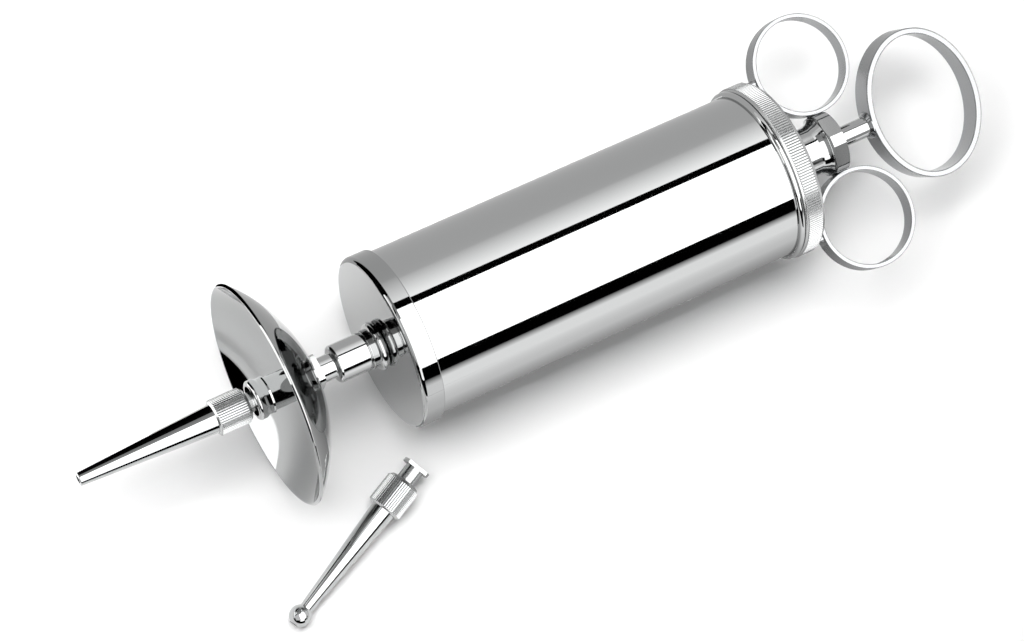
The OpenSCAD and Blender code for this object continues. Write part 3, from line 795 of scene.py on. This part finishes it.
def brazed_foot(shape, start, end, half_wide, half_high, flare):
    """Short post along X or Y that widens at both ends, as brazing metal does."""
    start, end = Vector(start), Vector(end)
    along = (end - start).normalized()
    side = Vector((0, 0, 1)).cross(along)
    length = (end - start).length
    rows = []
    for k in range(FOOT_STEPS + 1):
        f = k / FOOT_STEPS
        near = min(f, 1 - f) * length / flare
        swell = 1 + SWELL_WIDE * max(0, 1 - near) ** 2
        middle = start + along * length * f
        ring = []
        for i in range(FOOT_AROUND):
            t = 2 * math.pi * i / FOOT_AROUND
            c, s = math.cos(t), math.sin(t)
            y = math.copysign(abs(c) ** SQUARENESS, c) * half_wide * swell
            z = math.copysign(abs(s) ** SQUARENESS, s) * half_high * (1 + (swell - 1) * SWELL_HIGH)
            ring.append(len(shape.vertices))
            shape.vertices.append(tuple(middle + side * y + Vector((0, 0, z))))
        rows.append(ring)
    for a, b in zip(rows, rows[1:]):
        for i in range(FOOT_AROUND):
            j = (i + 1) % FOOT_AROUND
            shape.flat_face([a[j], b[j], b[i], a[i]])
    shape.flat_face(rows[0][::-1])
    shape.flat_face(rows[-1])


print("a foot widens at its ends by", round(100 * SWELL_WIDE), "percent")

# %% Finger rings
FINGER_R = 23.3 / 2
FINGER_WALL = 1.0
FINGER_WIDTH = 4.4
FINGER_EDGE = 0.21
FINGER_GAP = 0.1
BRAZE = 0.55
FOOT_ON_CAP = (1.0, 1.5, 1.0)
FOOT_ON_HEXAGON = (1.2, 1.7, 0.4)
finger_rear = span("finger_ring_left", syringe)[1]
finger_x = finger_rear - FINGER_R
finger_y = HEX_FLATS / 2 + FINGER_GAP + FINGER_R
foot_end = finger_x - FINGER_R + FINGER_WALL / 2
hex_middle = (hex_front + hex_rear) / 2
for name, side in (("left", 1), ("right", -1)):
    ring = Shape()
    bent_strip(ring, FINGER_R, FINGER_R, FINGER_WALL, FINGER_WIDTH, FINGER_EDGE,
               (finger_x, side * finger_y))
    brazed_foot(ring, (cap_rear, side * finger_y, 0), (foot_end, side * finger_y, 0), *FOOT_ON_CAP)
    brazed_foot(ring, (hex_middle, side * HEX_FLATS / 2, 0),
                (hex_middle, side * (HEX_FLATS / 2 + BRAZE), 0), *FOOT_ON_HEXAGON)
    make_piece(f"finger_band_{name}", ring, syringe, "cap", f"finger_ring_{name}")

# %% [markdown]
# ## Plunger rod and thumb ring
# The rod is plain bar. The thumb ring is an oval of wider strip, brazed on the rod's end,
# and a small spun cone in front of it stands for the fillet of brazing metal. The ring
# sits a few degrees out of the finger rings' plane, because the rod turns in its gland.

# %% Rod and thumb ring
ROD_COLLAR_R = 4.0
ROD_COLLAR = 2.1
ROD_COLLAR_ROUND = 0.4
ROD_THREAD_R = 1.9
ROD_PIN_R = 1.5
THUMB_LONG = 27.6
THUMB_ACROSS = 34.6
THUMB_WALL = 1.4
THUMB_WIDTH = 6.4
THUMB_EDGE = 0.3
THUMB_TURN = math.radians(7.3)
BOSS_LENGTH = 0.8
FILLET_CORE = ROD_R - 0.2
FILLET_REACH = 0.6
FILLET_WIDE = 1.0
FILLET_NECK = 0.75
FILLET_TOE = 0.15
rod_front = span("plunger_rod", syringe)[0]
shoulder_x = span("piston_rear_plate", syringe)[1] + SOLDER
thumb_rear = span("thumb_ring", syringe)[1]
thumb_x = thumb_rear - THUMB_LONG / 2
thumb_front = thumb_x - THUMB_LONG / 2
ring_face = thumb_front - BOSS_LENGTH
rod_corners = [
    (rod_front, 0), (rod_front, ROD_THREAD_R, WORN_EDGE), (shoulder_x, ROD_THREAD_R),
    (shoulder_x, ROD_COLLAR_R, WORN_EDGE),
    (shoulder_x + ROD_COLLAR, ROD_COLLAR_R, ROD_COLLAR_ROUND),
    (shoulder_x + ROD_COLLAR, ROD_R), (ring_face, ROD_R), (ring_face, ROD_PIN_R),
    (thumb_front + THUMB_WALL, ROD_PIN_R), (thumb_front + THUMB_WALL, 0)]
turned("rod", rod_corners, syringe, "plunger", "plunger_rod", STEPS_SMALL)

fillet_corners = [
    (ring_face, FILLET_CORE), (thumb_front + FILLET_REACH, FILLET_CORE),
    (thumb_front + FILLET_REACH, ROD_R + FILLET_WIDE),
    (thumb_front - 0.1, ROD_R + FILLET_NECK, 0.5), (ring_face, ROD_R + FILLET_TOE, SOFT_EDGE)]
thumb = Shape()
bent_strip(thumb, THUMB_LONG / 2, THUMB_ACROSS / 2, THUMB_WALL, THUMB_WIDTH, THUMB_EDGE,
           (thumb_x, 0), THUMB_TURN, STEPS_LARGE)
spin(thumb, fillet_corners, STEPS_HIDDEN)
make_piece("thumb_band", thumb, syringe, "plunger", "thumb_ring")

# %% [markdown]
# ## Finishes
# One function turns hex colours to linear light, and one adds a node with its settings
# and links. Patterns use each piece's own coordinates, whose X runs along its axis. They
# are kept on every mesh, because the meshes themselves are in the set's coordinates.

# %% Node helpers
def linear(hex_code):
    """Linear colour, with alpha, from an sRGB hex code."""
    parts = [int(hex_code[i:i + 2], 16) / 255 for i in (1, 3, 5)]
    return (*[p / 12.92 if p <= 0.04045 else ((p + 0.055) / 1.055) ** 2.4 for p in parts], 1.0)


def add(tree, kind, settings=None, **inputs):
    """Adds a node. settings are its attributes; an input is a value or a (node, output) link."""
    node = tree.nodes.new(kind)
    for name, value in (settings or {}).items():
        setattr(node, name, value)
    for name, value in inputs.items():
        target = node.inputs[name.replace("_", " ")]
        if isinstance(value, tuple) and isinstance(value[0], bpy.types.Node):
            tree.links.new(value[0].outputs[value[1]], target)
        else:
            target.default_value = value
    return node


def new_material(name):
    """Empty material with its tree and output."""
    material = bpy.data.materials.new(name)
    material.use_nodes = True
    tree = material.node_tree
    tree.nodes.clear()
    return material, tree, tree.nodes.new("ShaderNodeOutputMaterial")


def per_mm(size):
    """Texture scale for a pattern whose features are this many millimetres apart."""
    return 1 / (size * MM)


print("mid grey in linear light:", [round(v, 3) for v in linear("#808080")[:3]])

# %% [markdown]
# ### Polished chrome plate on brass
# Chrome plate is a neutral, slightly dark mirror: it gives back about half of the light.
# Buffing leaves it smooth, with soft cloudy differences in gloss a few millimetres wide and
# hair-fine marks round the piece, which show only in the highlights. An image could carry
# such marks, but noise has no seam. Real marks are finer, and these are as coarse as it
# takes to show.

# %% Chrome
CLOUD = 9.0
MARK = 0.35
MARK_LENGTH = 6.0
MARK_DEPTH = 0.002
WAVE = 14.0


def chrome_plate(name, colour, rough_low, rough_high, wave_height):
    """Chrome plate: rough_low to rough_high is its range of roughness, wave_height in mm."""
    material, tree, output = new_material(name)
    own = add(tree, "ShaderNodeAttribute", {"attribute_name": OWN_PLACE})
    clouds = add(tree, "ShaderNodeTexNoise", Vector=(own, "Vector"), Scale=per_mm(CLOUD),
                 Detail=3.0, Roughness=0.6)
    rough = add(tree, "ShaderNodeMapRange", Value=(clouds, "Fac"), To_Min=rough_low,
                To_Max=rough_high)
    stretched = add(tree, "ShaderNodeMapping", Vector=(own, "Vector"))
    stretched.inputs["Scale"].default_value = (per_mm(MARK), per_mm(MARK_LENGTH), per_mm(MARK_LENGTH))
    marks = add(tree, "ShaderNodeTexNoise", Vector=(stretched, "Vector"), Scale=1.0, Detail=2.0)
    waves = add(tree, "ShaderNodeTexNoise", Vector=(own, "Vector"), Scale=per_mm(WAVE), Detail=1.0)
    fine = add(tree, "ShaderNodeBump", Height=(marks, "Fac"), Strength=0.15,
               Distance=MARK_DEPTH * MM)
    soft = add(tree, "ShaderNodeBump", Height=(waves, "Fac"), Strength=1.0,
               Distance=wave_height * MM, Normal=(fine, "Normal"))
    shader = add(tree, "ShaderNodeBsdfPrincipled", Base_Color=linear(colour), Metallic=1.0,
                 Roughness=(rough, "Result"), Normal=(soft, "Normal"))
    tree.links.new(shader.outputs["BSDF"], output.inputs["Surface"])
    return material


PLATE = "#B6B7B7"
# The spun plate is painted darker than PLATE as shade: flange and shield are the same chrome,
# darkened for the shaded paper that they mirror.
SHADED_SPUN_PLATE = "#A5A6A6"
# The dull plate is rougher for a real dull finish, and painted darker than PLATE as shade, for the
# shaded ring walls and paper that the bands mirror.
DULL_SHADED_PLATE = "#999A9B"
shaded_spun_chrome = chrome_plate("chrome plate on spun brass sheet, buffed",
                           SHADED_SPUN_PLATE, 0.02, 0.06, 0.01)
tube_chrome = chrome_plate("chrome plate on brass tube, buffed", PLATE, 0.02, 0.06, 0.01)
turned_chrome = chrome_plate("chrome plate on turned brass, polished", PLATE, 0.03, 0.08, 0.004)
knurl_chrome = chrome_plate("chrome plate on knurled brass", PLATE, 0.19, 0.29, 0.002)
dull_shaded_strip_chrome = chrome_plate("chrome plate on bent brass strip, left dull",
                            DULL_SHADED_PLATE, 0.13, 0.22, 0.004)
FINISHES = {
    tube_chrome: ("barrel",),
    shaded_spun_chrome: ("flange", "shield"),
    turned_chrome: ("shoulder", "stem", "boss", "hub", "lock_bead", "straight_tube", "ball_tube",
                    "bonnet", "gland_neck", "gland_hexagon", "rod"),
    knurl_chrome: ("straight_grip", "ball_grip", "cap_rim"),
    dull_shaded_strip_chrome: ("finger_band_left", "finger_band_right", "thumb_band"),
}
for material, names in FINISHES.items():
    for name in names:
        bpy.data.objects[name].data.materials.append(material)
    print(material.name, "on", len(names), "pieces")

# %% [markdown]
# ### Oiled leather and turned brass
# The washers and the piston's cups are cut from vegetable-tanned leather and soaked in
# oil: dark, matt, with a fine grain. The inner metal isn't plated, so it is plain turned
# brass with the rings that the tool leaves. Real ones stand a tenth of a millimetre apart,
# too fine to show, so these are drawn about 1.6 mm apart. Both finishes show when the cap
# is off or the plunger is out.

# %% Leather and brass
GRAIN = 0.5
GRAIN_DEPTH = 0.1
STAIN = 5.0
TOOL_RING = math.pi / 2
RING_DEPTH = 0.01
TARNISH = 7.0
WAVES_PER_UNIT = 20 / (2 * math.pi)


def oiled_leather():
    """Vegetable-tanned leather soaked in oil."""
    material, tree, output = new_material("vegetable-tanned leather, oiled")
    place = add(tree, "ShaderNodeTexCoord")
    grain = add(tree, "ShaderNodeTexVoronoi", Vector=(place, "Object"), Scale=per_mm(GRAIN))
    stain = add(tree, "ShaderNodeTexNoise", Vector=(place, "Object"), Scale=per_mm(STAIN), Detail=4.0)
    ramp = add(tree, "ShaderNodeValToRGB", Fac=(stain, "Fac"))
    ramp.color_ramp.elements[0].color = linear("#4A2F1C")
    ramp.color_ramp.elements[1].color = linear("#7A5433")
    bump = add(tree, "ShaderNodeBump", Height=(grain, "Distance"), Strength=0.4,
               Distance=GRAIN_DEPTH * MM)
    shader = add(tree, "ShaderNodeBsdfPrincipled", Base_Color=(ramp, "Color"), Roughness=0.55,
                 IOR=1.5, Normal=(bump, "Normal"))
    tree.links.new(shader.outputs["BSDF"], output.inputs["Surface"])
    return material


def turned_brass():
    """Unplated brass with the rings that the lathe tool leaves."""
    material, tree, output = new_material("brass, turned")
    place = add(tree, "ShaderNodeTexCoord")
    rings = add(tree, "ShaderNodeTexWave", {"bands_direction": "X"}, Vector=(place, "Object"),
                Scale=per_mm(TOOL_RING) / WAVES_PER_UNIT, Distortion=1.0)
    bump = add(tree, "ShaderNodeBump", Height=(rings, "Fac"), Strength=0.2,
               Distance=RING_DEPTH * MM)
    tarnish = add(tree, "ShaderNodeTexNoise", Vector=(place, "Object"), Scale=per_mm(TARNISH),
                  Detail=3.0)
    ramp = add(tree, "ShaderNodeValToRGB", Fac=(tarnish, "Fac"))
    ramp.color_ramp.elements[0].color = linear("#B8924A")
    ramp.color_ramp.elements[1].color = linear("#DDBB74")
    shader = add(tree, "ShaderNodeBsdfPrincipled", Base_Color=(ramp, "Color"), Metallic=1.0,
                 Roughness=0.28, Normal=(bump, "Normal"))
    tree.links.new(shader.outputs["BSDF"], output.inputs["Surface"])
    return material


leather, brass = oiled_leather(), turned_brass()
by_slot = {"oiled_leather": leather, "turned_brass": brass}
slot_of = {entry["node"]: entry["material_slot"] for entry in record["subparts"]}
dressed = 0
for node, thing in frame["nodes"].items():
    finish = by_slot.get(slot_of[node])
    if finish:
        thing.data.materials.clear()
        thing.data.materials.append(finish)
        dressed += 1
print("inner pieces dressed:", dressed)

# %% [markdown]
# ## Studio
# A mirror is only as good as what it mirrors. The photograph's barrel shows a large white
# light overhead, a thin dark gap beside it, a paler wall beyond, and a dark room on the
# viewer's side. Cards placed round the set give the same bands. Their angles are counted
# from straight up, round the syringe's axis: minus is the far side, plus the near side.
#
# The set lies on white paper, which takes its shadows. Further out the paper glows by
# itself, so that it stays an even white to the picture's corners.

# %% Floor
FLOOR = 3.0


def stage_mesh(name, corners, material, camera_sees=True):
    """Flat card or floor that isn't part of the object."""
    mesh = bpy.data.meshes.new(name)
    mesh.from_pydata(corners, [], [(0, 1, 2, 3)])
    mesh.materials.append(material)
    thing = bpy.data.objects.new(name, mesh)
    bpy.context.scene.collection.objects.link(thing)
    thing.visible_camera = camera_sees
    return thing


PAPER_NEAR = 0.17
PAPER_FAR = 0.38
PAPER_WHITE = 1.05
paper, tree, output = new_material("white paper sweep, lit evenly further out")
sheet = add(tree, "ShaderNodeBsdfDiffuse", Color=linear("#F2F2F2"))
place = add(tree, "ShaderNodeTexCoord")
distance = add(tree, "ShaderNodeVectorMath", {"operation": "LENGTH"}, Vector=(place, "Object"))
further = add(tree, "ShaderNodeMapRange", {"interpolation_type": "SMOOTHSTEP"},
              Value=(distance, "Value"), From_Min=PAPER_NEAR, From_Max=PAPER_FAR)
even = add(tree, "ShaderNodeEmission", Strength=PAPER_WHITE)
blend = add(tree, "ShaderNodeMixShader", Fac=(further, "Result"))
tree.links.new(sheet.outputs["BSDF"], blend.inputs[1])
tree.links.new(even.outputs["Emission"], blend.inputs[2])
tree.links.new(blend.outputs["Shader"], output.inputs["Surface"])
stage_mesh("floor", [(-FLOOR, -FLOOR, 0), (FLOOR, -FLOOR, 0), (FLOOR, FLOOR, 0),
                     (-FLOOR, FLOOR, 0)], paper)
print("paper lit evenly from", PAPER_NEAR, "to", PAPER_FAR, "m out")

# %% [markdown]
# ### The world behind
# The world is plain white to the camera and in mirrors, and weaker as a light, so that
# metal shows the backdrop and the shadows on the paper stay.

# %% World
WORLD_LIGHT = 0.3
world = bpy.data.worlds.new("studio")
bpy.context.scene.world = world
world.use_nodes = True
sky = world.node_tree
sky.nodes.clear()
path = add(sky, "ShaderNodeLightPath")
seen = path.outputs["Is Camera Ray"]
for ray in ("Is Glossy Ray", "Is Transmission Ray"):
    either = add(sky, "ShaderNodeMath", {"operation": "MAXIMUM"})
    sky.links.new(seen, either.inputs[0])
    sky.links.new(path.outputs[ray], either.inputs[1])
    seen = either.outputs["Value"]
strength = add(sky, "ShaderNodeMapRange", Value=(either, "Value"), To_Min=WORLD_LIGHT, To_Max=1.0)
backdrop = add(sky, "ShaderNodeBackground", Color=(1, 1, 1, 1), Strength=(strength, "Result"))
add(sky, "ShaderNodeOutputWorld", Surface=(backdrop, "Background"))
print("world light on the set:", WORLD_LIGHT)

# %% [markdown]
# ### Cards
# A card is a strip between two lines along the syringe, each at an angle and a distance
# from its axis, and glows with an even fade from one to the other. Only the last two, at
# the tip's end, are set by their corners. Lamps would show in the plate as small spots,
# while a strip gives the long clean bands that it needs.

# %% Lights and cards
def card_material(name, near, far):
    """Plain emission that runs from one strength at the near edge to another at the far one."""
    material, tree, output = new_material(name)
    place = add(tree, "ShaderNodeTexCoord")
    split = add(tree, "ShaderNodeSeparateXYZ", Vector=(place, "Generated"))
    level = add(tree, "ShaderNodeMapRange", Value=(split, "Y"), To_Min=near, To_Max=far)
    glow = add(tree, "ShaderNodeEmission", Strength=(level, "Result"))
    tree.links.new(glow.outputs["Emission"], output.inputs["Surface"])
    return material


END = 1.6


def edge(angle, distance, x_from=-END, x_to=END):
    """Two corners of a card, at an angle and distance round the syringe's axis."""
    t = math.radians(angle)
    y = syringe.translation.y - distance * math.sin(t)
    z = max(0, syringe.translation.z + distance * math.cos(t))
    return [(x_from, y, z), (x_to, y, z)]


def card(name, first, second, strengths, mirrored=True, lights=False):
    """Card between two edges, with a strength at each; it is mirrored, or lights, or both."""
    if first[0][1] > second[0][1]:
        strengths = strengths[::-1]
    thing = stage_mesh(name, first + second[::-1], card_material(name, *strengths), False)
    thing.visible_glossy = mirrored
    thing.visible_diffuse = lights
    thing.visible_shadow = lights


card("floor_light", edge(-5, 0.7, -0.6, 0.2), edge(-33, 0.8, -0.6, 0.2), (9.6, 9.6), False, True)
card("softbox", edge(48.5, 0.8, -0.3, 0.5), edge(-31.5, 0.8, -0.3, 0.5), (3.3, 3.5))
card("end_grey_near", edge(80, 0.8, 0.41, 0.9), edge(40, 0.8, 0.41, 0.9), (0.42, 0.5))
card("end_grey_far", edge(-40, 1.0, 0.503, 1.0), edge(-76, 1.0, 0.503, 1.0), (0.75, 0.6))
card("dark_gap", edge(-29, 1.0), edge(-41, 1.0), (0.0, 0.0))
card("far_wall", edge(-40, 1.3), edge(-72, 1.3), (1.85, 0.86))
# Seen only in the plate: a stand-in for the paper on the far side, with painted shade that dims it
# and darkens it towards the barrel.
card("far_paper", edge(-72, 1.3, 0.2), edge(-137, 0.0305, -0.06), (0.86, 0.68))
card("tip_softbox", edge(63, 0.75, -0.4, 0.11), edge(48, 0.75, -0.4, 0.11), (2.5, 2.5))
card("tip_grey", edge(-16, 0.7, -0.4, 0.10), edge(-54, 0.7, -0.4, 0.10), (0.5, 0.3))
card("tip_flag", edge(-52, 0.75, -0.4, 0.11), edge(-126, 0.037, -0.13, -0.05), (0.0, 0.0))
card("dark_room", edge(66.5, 1.1), edge(46, 1.1), (0.0, 0.0))
card("near_wall_top", edge(76, 1.2, 0.19), edge(66, 1.2, 0.19), (1.45, 0.1))
card("near_dark", edge(88, 1.1, -END, 0.17), edge(66, 1.1, -END, 0.17), (0.0, 0.0))
card("near_wall", edge(91, 1.2), edge(76, 1.2), (1.45, 1.45))
# Seen only in the plate: stand-ins for the paper on the near side, with painted shadow that darkens
# them towards the barrel.
card("near_paper", edge(85.5, 0.12, -0.045), edge(104, 0.058, -0.045), (1.45, 1.0))
card("under_paper", edge(104, 0.058, -0.045), edge(134, 0.034, -0.045), (1.0, 0.3))
card("left_window", [(-0.09, 0.12, 0.002), (-1.3, 1.5, 0.5)],
     [(-0.09, 0.01, 0.002), (-1.3, 0.01, 0.5)], (2.8, 2.8))
card("left_dark", [(-1.3, 0.0, 0), (-1.3, 0.0, 0.5)],
     [(-1.3, -1.2, 0), (-1.3, -1.2, 0.5)], (0.0, 0.0))

# %% [markdown]
# ## Colour
# The picture is shown as it is rendered, without a film look.

# %% Finish
bpy.context.scene.view_settings.view_transform = "Standard"
